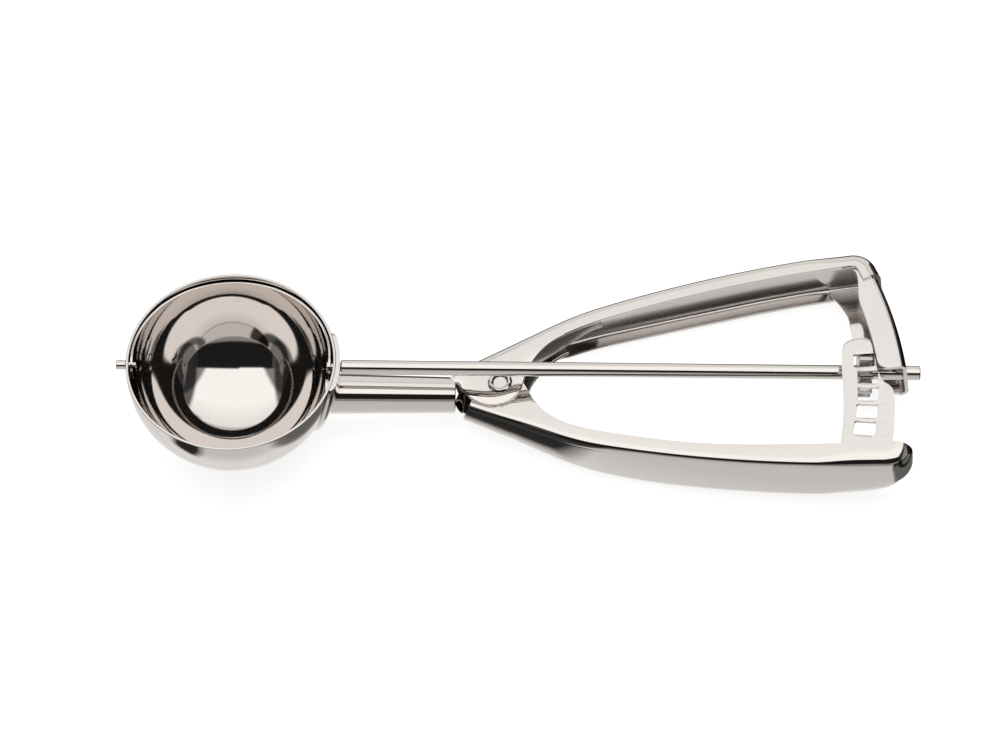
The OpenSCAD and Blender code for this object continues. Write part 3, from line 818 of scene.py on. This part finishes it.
def shank():
    """A tapered tube from the saddle to the lugs, its free end rounded."""
    x0, x1 = BOWL_OUT - 3.2, SHANK_END_X

    def radius(x):
        return SHANK_R + (SHANK_END_R - SHANK_R) * (x - (BOWL_OUT - 4)) / (x1 - BOWL_OUT + 4)
    outer = [(x, radius(x)) for x in np.linspace(x0, x1 - 0.3, 24)]
    end = [(x1 - back, radius(x1) - d) for back, d in ((0.1, 0.06), (0, 0.25), (0, 0.8), (0.1, 0.95))]
    inner = [(x, radius(x) - SHEET) for x in np.linspace(x1 - 0.2, x0, 24)]
    return turned(outer + end + inner + [outer[0]], (0, 0, ROD_Z - SHANK_DROP))


def saddle():
    """Round patch of sheet on the bowl, cut off under its rim, with a round edge.
    Each of its levels is a share of the radius and of the depth."""
    steps = 96
    levels = [(0.0, 0.0), (0.5, 0.0), (0.86, 0.0), (0.93, 0.0), (0.955, 0.04), (0.975, 0.12), (0.99, 0.28),
              (1.0, 0.55), (1.0, 1.0), (0.9, 1.0), (0.5, 1.0), (0.0, 1.0)]
    rings = []
    for out, depth in levels:
        r = SADDLE_OUT - SADDLE_T * depth
        ring = []
        for i in range(steps):
            a = 2 * math.pi * i / steps
            y = SADDLE_R * out * math.cos(a)
            z = min(-SADDLE_DROP + SADDLE_R * out * math.sin(a), COLLAR - 0.3)
            ring.append((math.sqrt(r * r - y * y - min(z, 0) ** 2), y, ROD_Z + z))
        rings.append(ring)
    return sweep(rings, cap="none")


make("fixed_handle",
     [channel_skin([frame_ring(p) for p in FRAME_PATH]), *frame_lug(False), *frame_lug(True),
      shank(), saddle()],
     "polished_steel", "frame", "frame_handle", corner=40)


# ------------------------------------------------------------- end bracket
def leg_along(i):
    """How far down its leg the bracket's ring i lies."""
    k = i - len(BRACKET_BACK) + 1
    if k <= LEG_STEPS:
        return max(0, k) / LEG_STEPS * LEG_L * LEG_MAIN
    return LEG_L * (LEG_MAIN + (1 - LEG_MAIN) * (k - LEG_STEPS) / LEG_END_STEPS)


def bracket_width(i):
    """The upper flange: wider down the leg, with a rounded corner at its end."""
    h = BRACKET_PATH[i][2]
    if h > 0:
        return BRACKET_FLANGE
    corner = BRACKET_FLANGE + CORNER_EXTRA * soft_share(-h, 0, 30)
    wide = ramp(leg_along(i), 0, 11, corner, LEG_FLANGE)
    gone = max(FLANGE_ROUND - (LEG_L - leg_along(i)), 0)
    return wide - (FLANGE_ROUND - math.sqrt(max(FLANGE_ROUND ** 2 - gone ** 2, 0)))


def bracket_ring(i):
    p = BRACKET_PATH[i]
    slant = ramp(p[0], BRACKET_X, BRACKET_X + 14, -0.53, 0) if p[2] > 0 else 0.0
    return channel_ring(p, -NEST_Z, NEST_Z - height_at(p[0]), bracket_width(i), BEND - NEST - 0.3,
                        low_width=2.7, edge=0.12, slant=slant)


def bracket_floor():
    """The lower flange: it fills the corner and narrows down the leg."""
    inner = flowing([(91.0, 31.4), (91.4, 30.3), (93.7, 27.3), (95.4, 24.2), (96.3, 21.4), (96.8, 16.4),
                     (97.9, 11.4), (100.4, 7.4), (102.9, 3.9), (103.7, 0.6), (104.4, -1.3), (105.8, -2.9),
                     (107.8, -3.5)], 8)
    outer = [p[:2] for p in inward(BRACKET_PATH, 2.1) if p[0] > 92]
    level = NEST_Z + SHEET - SKIN - GRIP_H
    points, faces = plate([tuple(p) for p in inner] + outer[::-1], lambda q: np.full(len(q), level),
                          SHEET - 2 * SKIN, pitch=1.0, lip=0.12, bands=(0.04, 0.12, 0.3))
    return on_handle(points), faces


make("rod_bracket",
     [channel_skin([bracket_ring(i) for i in range(len(BRACKET_PATH))]), bracket_floor()],
     "pressed_steel", "frame", "end_bracket", corner=40)


# ------------------------------------------------------- the moving handle
def squeeze_level(points):
    """Height of the flange: one sheet lower under the lug, then a smooth step up."""
    beside_lug = np.where(inside(points, np.concatenate([RIM, LUG_WEB])), -1, 1)
    past_rim = beside_lug * edge_distance(points, [RIM], closed=False) - 0.75
    corner = np.maximum(-points[:, 1] - 6.6, 3.6 - points[:, 0])
    up = step(np.minimum(past_rim, corner) / 0.9 + 0.5)
    r = FRONT_BEND + (BEND - FRONT_BEND) * step((points[:, 0] + 4) / 12)
    return -NEST_Z * (1 - up) - SKIN - bend_drop(points, r, -1)


def squeeze_outline():
    """The flange's plan: its free edge from the front round the rivet, then the web's side."""
    free = flowing([(-5.8, 2.9), (-3.4, 5.2), (0, 6.1), (3.0, 5.3), (5.4, 2.9), (6.3, 0.2), (7.1, -1.3),
                    (8.35, -4.0), (9.8, -6.8), (12.1, -10.1), (14.9, -12.5), (17.2, -13.95),
                    (19.6, -15.3)], 9)
    free = [tuple(p) for p in calm(even(free, 0.25), 12)]
    front = [(-8.2, -4.4), (-7.4, -1.0)]
    return (free + web_side(np.linspace(15, -8.2, 60), -1) + front)[::-1]


def squeeze_flange(low):
    """A flange round the rivet. The lower one is turned over, at the channel's depth."""
    points, faces = plate(squeeze_outline(), squeeze_level, SHEET, pitch=0.3, lip=0.08)
    if low:
        depth = np.array([squeeze_height_at(x) for x in points[:, 0]])
        depth = PIVOT_H + (depth - PIVOT_H) * step((np.abs(points[:, 1]) - 6.0) / 2)
        points = np.column_stack([points[:, :2], -points[:, 2] - depth])
        faces = [f[::-1] for f in faces]
    return on_handle(points), faces


def squeeze_width(x):
    if x < 4:
        return ramp(x, -4, 4, 1.9, BEND + 0.1)
    return flange_width(x) + ramp(x, 45, 95, 0, REAR_FLANGE - FLANGE)


def squeeze_ring(p):
    x = p[0]
    front = x < 40
    return channel_ring(p, 0, -squeeze_height_at(x), squeeze_width(x),
                        ramp(x, -4, 8, FRONT_BEND, BEND) if front else rear_bend(p, SQUEEZE_REAR_BEND),
                        low_r=ramp(x, 0, 30, 1.25, BEND) if front else None,
                        side=-1, slant=ramp(x, SQUEEZE_START, SQUEEZE_START + 9, 0.37, 0))


make("squeeze_channel",
     [channel_skin([squeeze_ring(p) for p in SQUEEZE_PATH]), squeeze_flange(False), squeeze_flange(True)],
     "polished_steel", "moving_handle", "squeeze_handle", corner=40)


# -------------------------------------------------------------------- rack
def rack_outline():
    """The rack's plan: up its front side, round its tip, back past the slots and along the web."""
    plan = flowing([(91.3, -29.5), (92.4, -26.5), (93.1, -22.5), (93.7, -18), (94.0, -13), (94.05, -6),
                    (94.05, 0), (94.2, 3.4), (94.9, 5.7), (96.4, 7.0), (98.6, 7.45), (100.6, 7.3),
                    (101.9, 6.6), (102.5, 5.2), (102.9, 2.5), (103.4, -1.2), (104.0, -4.4), (105.1, -7.1),
                    (106.4, -8.3), (107.35, -9.6), (107.75, -11.6), (107.7, -16), (107.2, -22),
                    (106.6, -26.5), (106.3, -29.5)], 5)
    near = [(x, -y) for x, y, _ in inward([p for p in SQUEEZE_LONG if p[0] > 90], 1.3)]
    return [tuple(p) for p in plan] + near[::-1]


SLOT_SHIFT = (0, 0.9, 1.15, 1.25, 1.45)             # how far each slot lies out from the row's arc
SLOT_LONGER = (0, 0, 0, 0.05, 0.1)
SLOT_CORNER, SLOT_TURN = 0.5, 0.75


def slot_hole(i):
    """A slot of the row, whose arc has its own centre, a little off the pivot."""
    row_s, row_c = heading(-SLOT_STEP * i)
    r = RACK_R - 1.1 + SLOT_SHIFT[i]
    s, c = heading(-SLOT_STEP * i * SLOT_TURN)
    half_l, half_w = SLOT_L / 2 + SLOT_LONGER[i] - SLOT_CORNER, SLOT_W / 2 - SLOT_CORNER
    out = []
    for x0, y0, quarter in ((half_l, half_w, 0), (-half_l, half_w, 90), (-half_l, -half_w, 180),
                            (half_l, -half_w, 270)):
        for k in range(6):
            corner_s, corner_c = heading(quarter + 18 * k)
            x, y = x0 + SLOT_CORNER * corner_c, y0 + SLOT_CORNER * corner_s
            out.append((r * row_c + x * c - y * s, r * row_s + x * s + y * c))
    return out[::-1]


def rack_level(points):
    """A shallow fold runs beside the slots, with a dent at the end of each bar."""
    x, y = points[:, 0], points[:, 1]
    off = x - 104.75 + 0.0025 * (y + 12) ** 2       # distance from the fold's line
    bar = np.cos((y + 2.75) / SLOT_PITCH * 2 * math.pi)
    along = step((-y - 6.5) / 2.5) * step((y + 25.5) / 2)
    fold = np.exp(-((off - 0.12 * bar) / 0.55) ** 2)
    dents = np.exp(-((off + 0.5) / 0.6) ** 2) * np.clip(bar, 0, 1) ** 2
    return -RACK_TOP - (0.10 * fold + 0.07 * dents + 0.05 * step(off / 1.2)) * along


def rack_leg_ring(p):
    """Section of the leg that lies on the inside of the moving handle's web."""
    x, y, h = p
    s, c = heading(h)
    half, top, low = RACK_T / 2, -RACK_TOP, -RACK_TOP - RACK_LEG
    mid = SHEET + 2 * SKIN + half
    corners = ((-1, top - 0.3), (-1, low + 0.3), (-0.6, low), (0.6, low), (1, low + 0.3), (1, top - 0.5),
               (0.6, top - 0.15), (-0.6, top - 0.05))
    return on_handle([(x + (mid + half * u) * s, -(y - (mid + half * u) * c), z) for u, z in corners])


rack_points, rack_faces = plate(rack_outline(), rack_level, RACK_T, [slot_hole(i) for i in range(SLOTS)],
                                pitch=0.36, lip=0.1)
rack_leg = sweep([rack_leg_ring(p) for p in SQUEEZE_LONG if p[0] > 91], cap="face")
make("slotted_rack", [(on_handle(rack_points), rack_faces), rack_leg],
     "pressed_steel", "moving_handle", "rack", corner=38)


# --------------------------------------------------- rod, far pin and rivet
NECK_X = SADDLE_OUT + 0.1
BLADE_IN = BOWL_R - BLADE_GAP - BLADE_T
HEAD_X = BLADE_IN - 0.25


def web_x(y):
    """X in the handles' plane of the bracket's outer face at a Y on its leg."""
    leg = sorted((p[1], p[0]) for p in BRACKET_PATH[-LEG_STEPS:])
    return float(np.interp(y, *zip(*leg)))


rod_rise = (PIVOT_DROP - web_x(0) * math.sin(TILT)) / math.cos(TILT)
rod_end = PIVOT_X + web_x(0) * math.cos(TILT) - rod_rise * math.sin(TILT) + ROD_TAIL
head_r = TENON_R + TENON_HEAD
rod = rounded([(HEAD_X - TENON_HEAD_L, 0), (HEAD_X - TENON_HEAD_L, head_r), (HEAD_X, head_r),
               (HEAD_X, TENON_R), (NECK_X, TENON_R), (NECK_X, ROD_R), (rod_end, ROD_R), (rod_end, 0)], 0.4)
make("turning_rod", [turned(rod)], "turned_steel", "rotor", "drive_rod", corner=50)

pin_x, pin_tip_x = -BOWL_OUT - 0.1, 1 - BLADE_IN
pin = rounded([(pin_x - PIN_L, 0), (pin_x - PIN_L, PIN_R), (pin_x, PIN_R), (pin_x, PIN_TENON_R),
               (pin_tip_x, PIN_TENON_R), (pin_tip_x, 0)], 0.35)
make("pin_far_side", [turned(pin, steps=48)], "turned_steel", "rotor", "far_pin", corner=50)

# From the lower head, past the shank, over the upper head's round rim and into its dish
DISH_R, DISH_EDGE, DISH_LEVEL = 3.1, 2.33, 0.47
rivet = [(-PIVOT_H - RIVET_HEAD_H, 0), (-PIVOT_H - RIVET_HEAD_H, RIVET_HEAD_R - 0.9),
         (-PIVOT_H - 0.2, RIVET_HEAD_R), (-PIVOT_H, RIVET_HEAD_R), (-PIVOT_H, RIVET_R), (0, RIVET_R),
         (0, RIVET_HEAD_R), (0.03, RIVET_HEAD_R)]
rivet += [(0.08, 3.36), (0.16, 3.27), (0.3, 3.1), (0.42, 2.94), (0.5, 2.82), (0.545, 2.7), (0.56, 2.58),
          (0.55, 2.48), (0.51, 2.4)]
dish_floor = DISH_LEVEL + math.sqrt(DISH_R ** 2 - DISH_EDGE ** 2)
rivet += [(dish_floor - math.sqrt(DISH_R ** 2 - r * r), r)
          for r in (DISH_EDGE, 2.2, 2.05, 1.85, 1.6, 1.3, 1.0, 0.7, 0.4, 0.2, 0)]
make("rivet", [turned(rivet, (0, 0, 0), "z", 64, on_handle)],
     "turned_steel", "frame", "pivot_rivet", corner=50)


# ------------------------------------------------------- sleeve and spring
SLEEVE_R = RIVET_R + SLEEVE_GAP
SLEEVE_OUT = SLEEVE_R + SLEEVE_T


def between_flanges(gap):
    """Lowest and highest level between the moving handle's flanges, gap away from both."""
    return -(PIVOT_H - NEST_Z - SHEET - gap), -(NEST_Z + SHEET + gap)


low, high = between_flanges(SLEEVE_GAP)
wall_middle = (low, (SLEEVE_R + SLEEVE_OUT) / 2)
tube = rounded([wall_middle, (low, SLEEVE_OUT), (high, SLEEVE_OUT), (high, SLEEVE_R), (low, SLEEVE_R),
                wall_middle], 0.15)
make("spacer_sleeve", [turned(tube, (0, 0, 0), "z", 48, on_handle)],
     "cut_steel", "frame", "pivot_sleeve", corner=50)

# Each leg leaves the coil at a tangent and ends on the inner face of its handle
coil_r = SLEEVE_OUT + 0.15
inner_xs, inner_ys, _ = zip(*inward(FRAME_GRIP, SHEET + 0.05))
leg_tip = np.array([SPRING_REACH, np.interp(SPRING_REACH, inner_xs, inner_ys)])
leg_l = math.sqrt(leg_tip @ leg_tip - (coil_r + SPRING_T) ** 2)
leg_a = math.degrees(math.atan2(leg_tip[1], leg_tip[0]) - math.atan2(coil_r + SPRING_T, leg_l))


def unit(angle):
    return np.array(heading(angle)[::-1])


def spring_leg(r, side):
    """Points from the coil to a leg's tip, which curls off the handle."""
    out = []
    for k in np.linspace(0, 1, 28):
        curl = 0.9 * max(0, (k - 0.86) / 0.14) ** 2
        out.append((r - curl) * unit(side * (90 + leg_a)) + leg_l * k * unit(side * leg_a))
    return out


def spring_line(r):
    start = 90 + leg_a
    coil = [r * unit(a) for a in np.linspace(start, 360 - start, 40)[1:-1]]
    return spring_leg(r, 1)[::-1] + coil + spring_leg(r, -1)


low, high = between_flanges(0.3)
rings = [on_handle([(*a, high), (*b, high), (*b, low), (*a, low)])
         for a, b in zip(spring_line(coil_r), spring_line(coil_r + SPRING_T))]
spring = make("bent_spring", [sweep(rings, cap="face")], "spring_steel", None, None, soften=SPRING_EDGE)
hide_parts("leaf_spring")
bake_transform(spring)


# --------------------------------------------------- table, light, camera
# The table lies a little under the bowl and rises towards the handles
TABLE_LEAN, TABLE_GAP, TABLE_SIDE, TABLE_END = math.radians(5.8), 0.3, 3000, 3500
table_z = ROD_Z - BOWL_OUT / math.cos(TABLE_LEAN) - TABLE_GAP
table_mesh = bpy.data.meshes.new("table")
table_corners = [(x * MM, y * MM, (table_z + x * math.tan(TABLE_LEAN)) * MM)
                 for x in (-TABLE_SIDE, TABLE_END) for y in (-TABLE_SIDE, TABLE_SIDE)]
table_mesh.from_pydata(table_corners, [], [(0, 2, 3, 1)])
table = bpy.data.objects.new("table", table_mesh)
bpy.context.scene.collection.objects.link(table)
paper = Finish("pale paper")
grain = paper.node("ShaderNodeTexNoise", Vector=paper.node("ShaderNodeTexCoord", out=OBJECT_SPOT),
                   Scale=400.0, Detail=2.0)
paper.set(Base_Color=(0.4, 0.4, 0.4, 1), Roughness=0.8 + 0.1 * grain, Emission_Color=(1, 1, 1, 1),
          Emission_Strength=0.82)
table_mesh.materials.append(paper.material)
table.visible_glossy = False

room = bpy.data.worlds.new("studio")
bpy.context.scene.world = room
room.use_nodes = True
room.node_tree.nodes.clear()
look = add(room.node_tree, "ShaderNodeTexCoord")
way = add(room.node_tree, "ShaderNodeSeparateXYZ", Vector=look.outputs["Generated"])
way_x, way_y, way_z = (Wire(room.node_tree, way.outputs[i]) for i in range(3))
# Angles of a direction: from straight up towards -Y, and to the side towards +X
ahead = (-way_y).angle_from(way_z) * (180 / math.pi)
aside = way_x.arcsin() * (180 / math.pi)


def band(value, low, high, soft):
    """1 where value lies from low to high, fading over soft on both sides."""
    rise = ((value - (low - soft / 2)) / soft).clipped()
    fall = (((high + soft / 2) - value) / soft).clipped()
    return rise * fall


def area(ahead_band, aside_band):
    return band(ahead, *ahead_band) * band(aside, *aside_band)


# A large soft box overhead, whose sides open out towards +Y
box_wide = ((36.0 + 0.4 * (31.0 - ahead).most(0.0) - aside.most(-aside)) / 5.0).clipped()
box_edge = 31.0 + (-(aside + 3.0) * 0.5).most(0.0).least(1.5)
box = band(ahead, -43, 60, 4) * ((box_edge - ahead) / 2.0).clipped() * box_wide
light = box * (1.0 - 0.22 * ((-12.0 - ahead) / 25.0).clipped()) + 0.3
# The wall on the +Y side, and a glow from the foot of the other wall and from below
light = light + area((-96, -45, 4), (-60, 60, 10)) * 0.62
under = (ahead.over(95.0) + ahead.below(-95.0)).least(1.0)
glow = 0.36 + 0.06 * ((ahead - 76.0) / 60.0).clipped() + 0.2 * ((ahead - 150.0) / 18.0).clipped()
glow = glow + 0.2 * ahead.below(-95.0)
light = light + (band(ahead, 76, 97, 5) + under).least(1.0) * band(aside, -50, 22, 5) * glow
# The dark gap past the box's edge on the -Y side
light = light * (1.0 - 0.95 * area((30, 62, 3), (-46, 46, 6)) * (1.0 - box))
# Dark areas of the room: how much light each takes, then its reach and softness, ahead and aside
for taken, ahead_band, aside_band in (
        (0.965, (139, 168, 6), (-34, -18, 5)),
        (0.93, (58, 141, 4), (-50, -29, 4)),
        (0.85, (-134, -94, 5), (-50, 50, 8)),
        (0.9, (70, 97, 5), (25, 91, 5)),
        (0.93, (-152, -40, 6), (30, 91, 4))):
    light = light * (1.0 - taken * area(ahead_band, aside_band))
light = light * (1.0 - 0.5 * under * band(aside, 25, 91, 8))
light = light * (1.0 - 0.88 * band(aside, 44, 58, 4)) * (1.0 - 0.82 * band(aside, -58, -46, 4))
shine = add(room.node_tree, "ShaderNodeBackground", Color=(1.0, 0.985, 0.965, 1), Strength=light)
add(room.node_tree, "ShaderNodeOutputWorld", Surface=shine.outputs[0])


def aim(direction):
    """Turn of a lamp or a camera that looks along a direction."""
    return direction.to_track_quat("-Z", "Y")


def soft_box(name, place, size, power, target):
    lamp_data = bpy.data.lights.new(name, "AREA")
    lamp_data.shape = "RECTANGLE"
    lamp_data.size, lamp_data.size_y = size
    lamp_data.energy = power
    lamp = bpy.data.objects.new(name, lamp_data)
    lamp.location = place
    lamp.rotation_euler = aim(Vector(target) - Vector(place)).to_euler()
    lamp.visible_glossy = False
    bpy.context.scene.collection.objects.link(lamp)


soft_box("soft_box_top", (0.1, 0.25, 0.9), (0.9, 0.6), 5, (0.08, 0, -0.01))

ELEVATION, ROLL, DISTANCE = math.radians(57), math.radians(0.6), 0.95
LOOK_AT = Vector((73.8, -1.43, -3.73)) * MM
SENSOR_W, PICTURE_W, PIXELS_PER_MM = 36, 1000, 3.642
towards_eye = Vector((0, -math.cos(ELEVATION), math.sin(ELEVATION)))
eye = bpy.data.cameras.new("camera")
eye.sensor_width = SENSOR_W
eye.lens = PIXELS_PER_MM * DISTANCE / MM * SENSOR_W / PICTURE_W
camera = bpy.data.objects.new("camera", eye)
camera.location = LOOK_AT + towards_eye * DISTANCE
camera.rotation_euler = (aim(-towards_eye).to_matrix().to_4x4() @ Matrix.Rotation(ROLL, 4, "Z")).to_euler()
bpy.context.scene.collection.objects.link(camera)
bpy.context.scene.camera = camera
bpy.context.scene.view_settings.view_transform = "Standard"
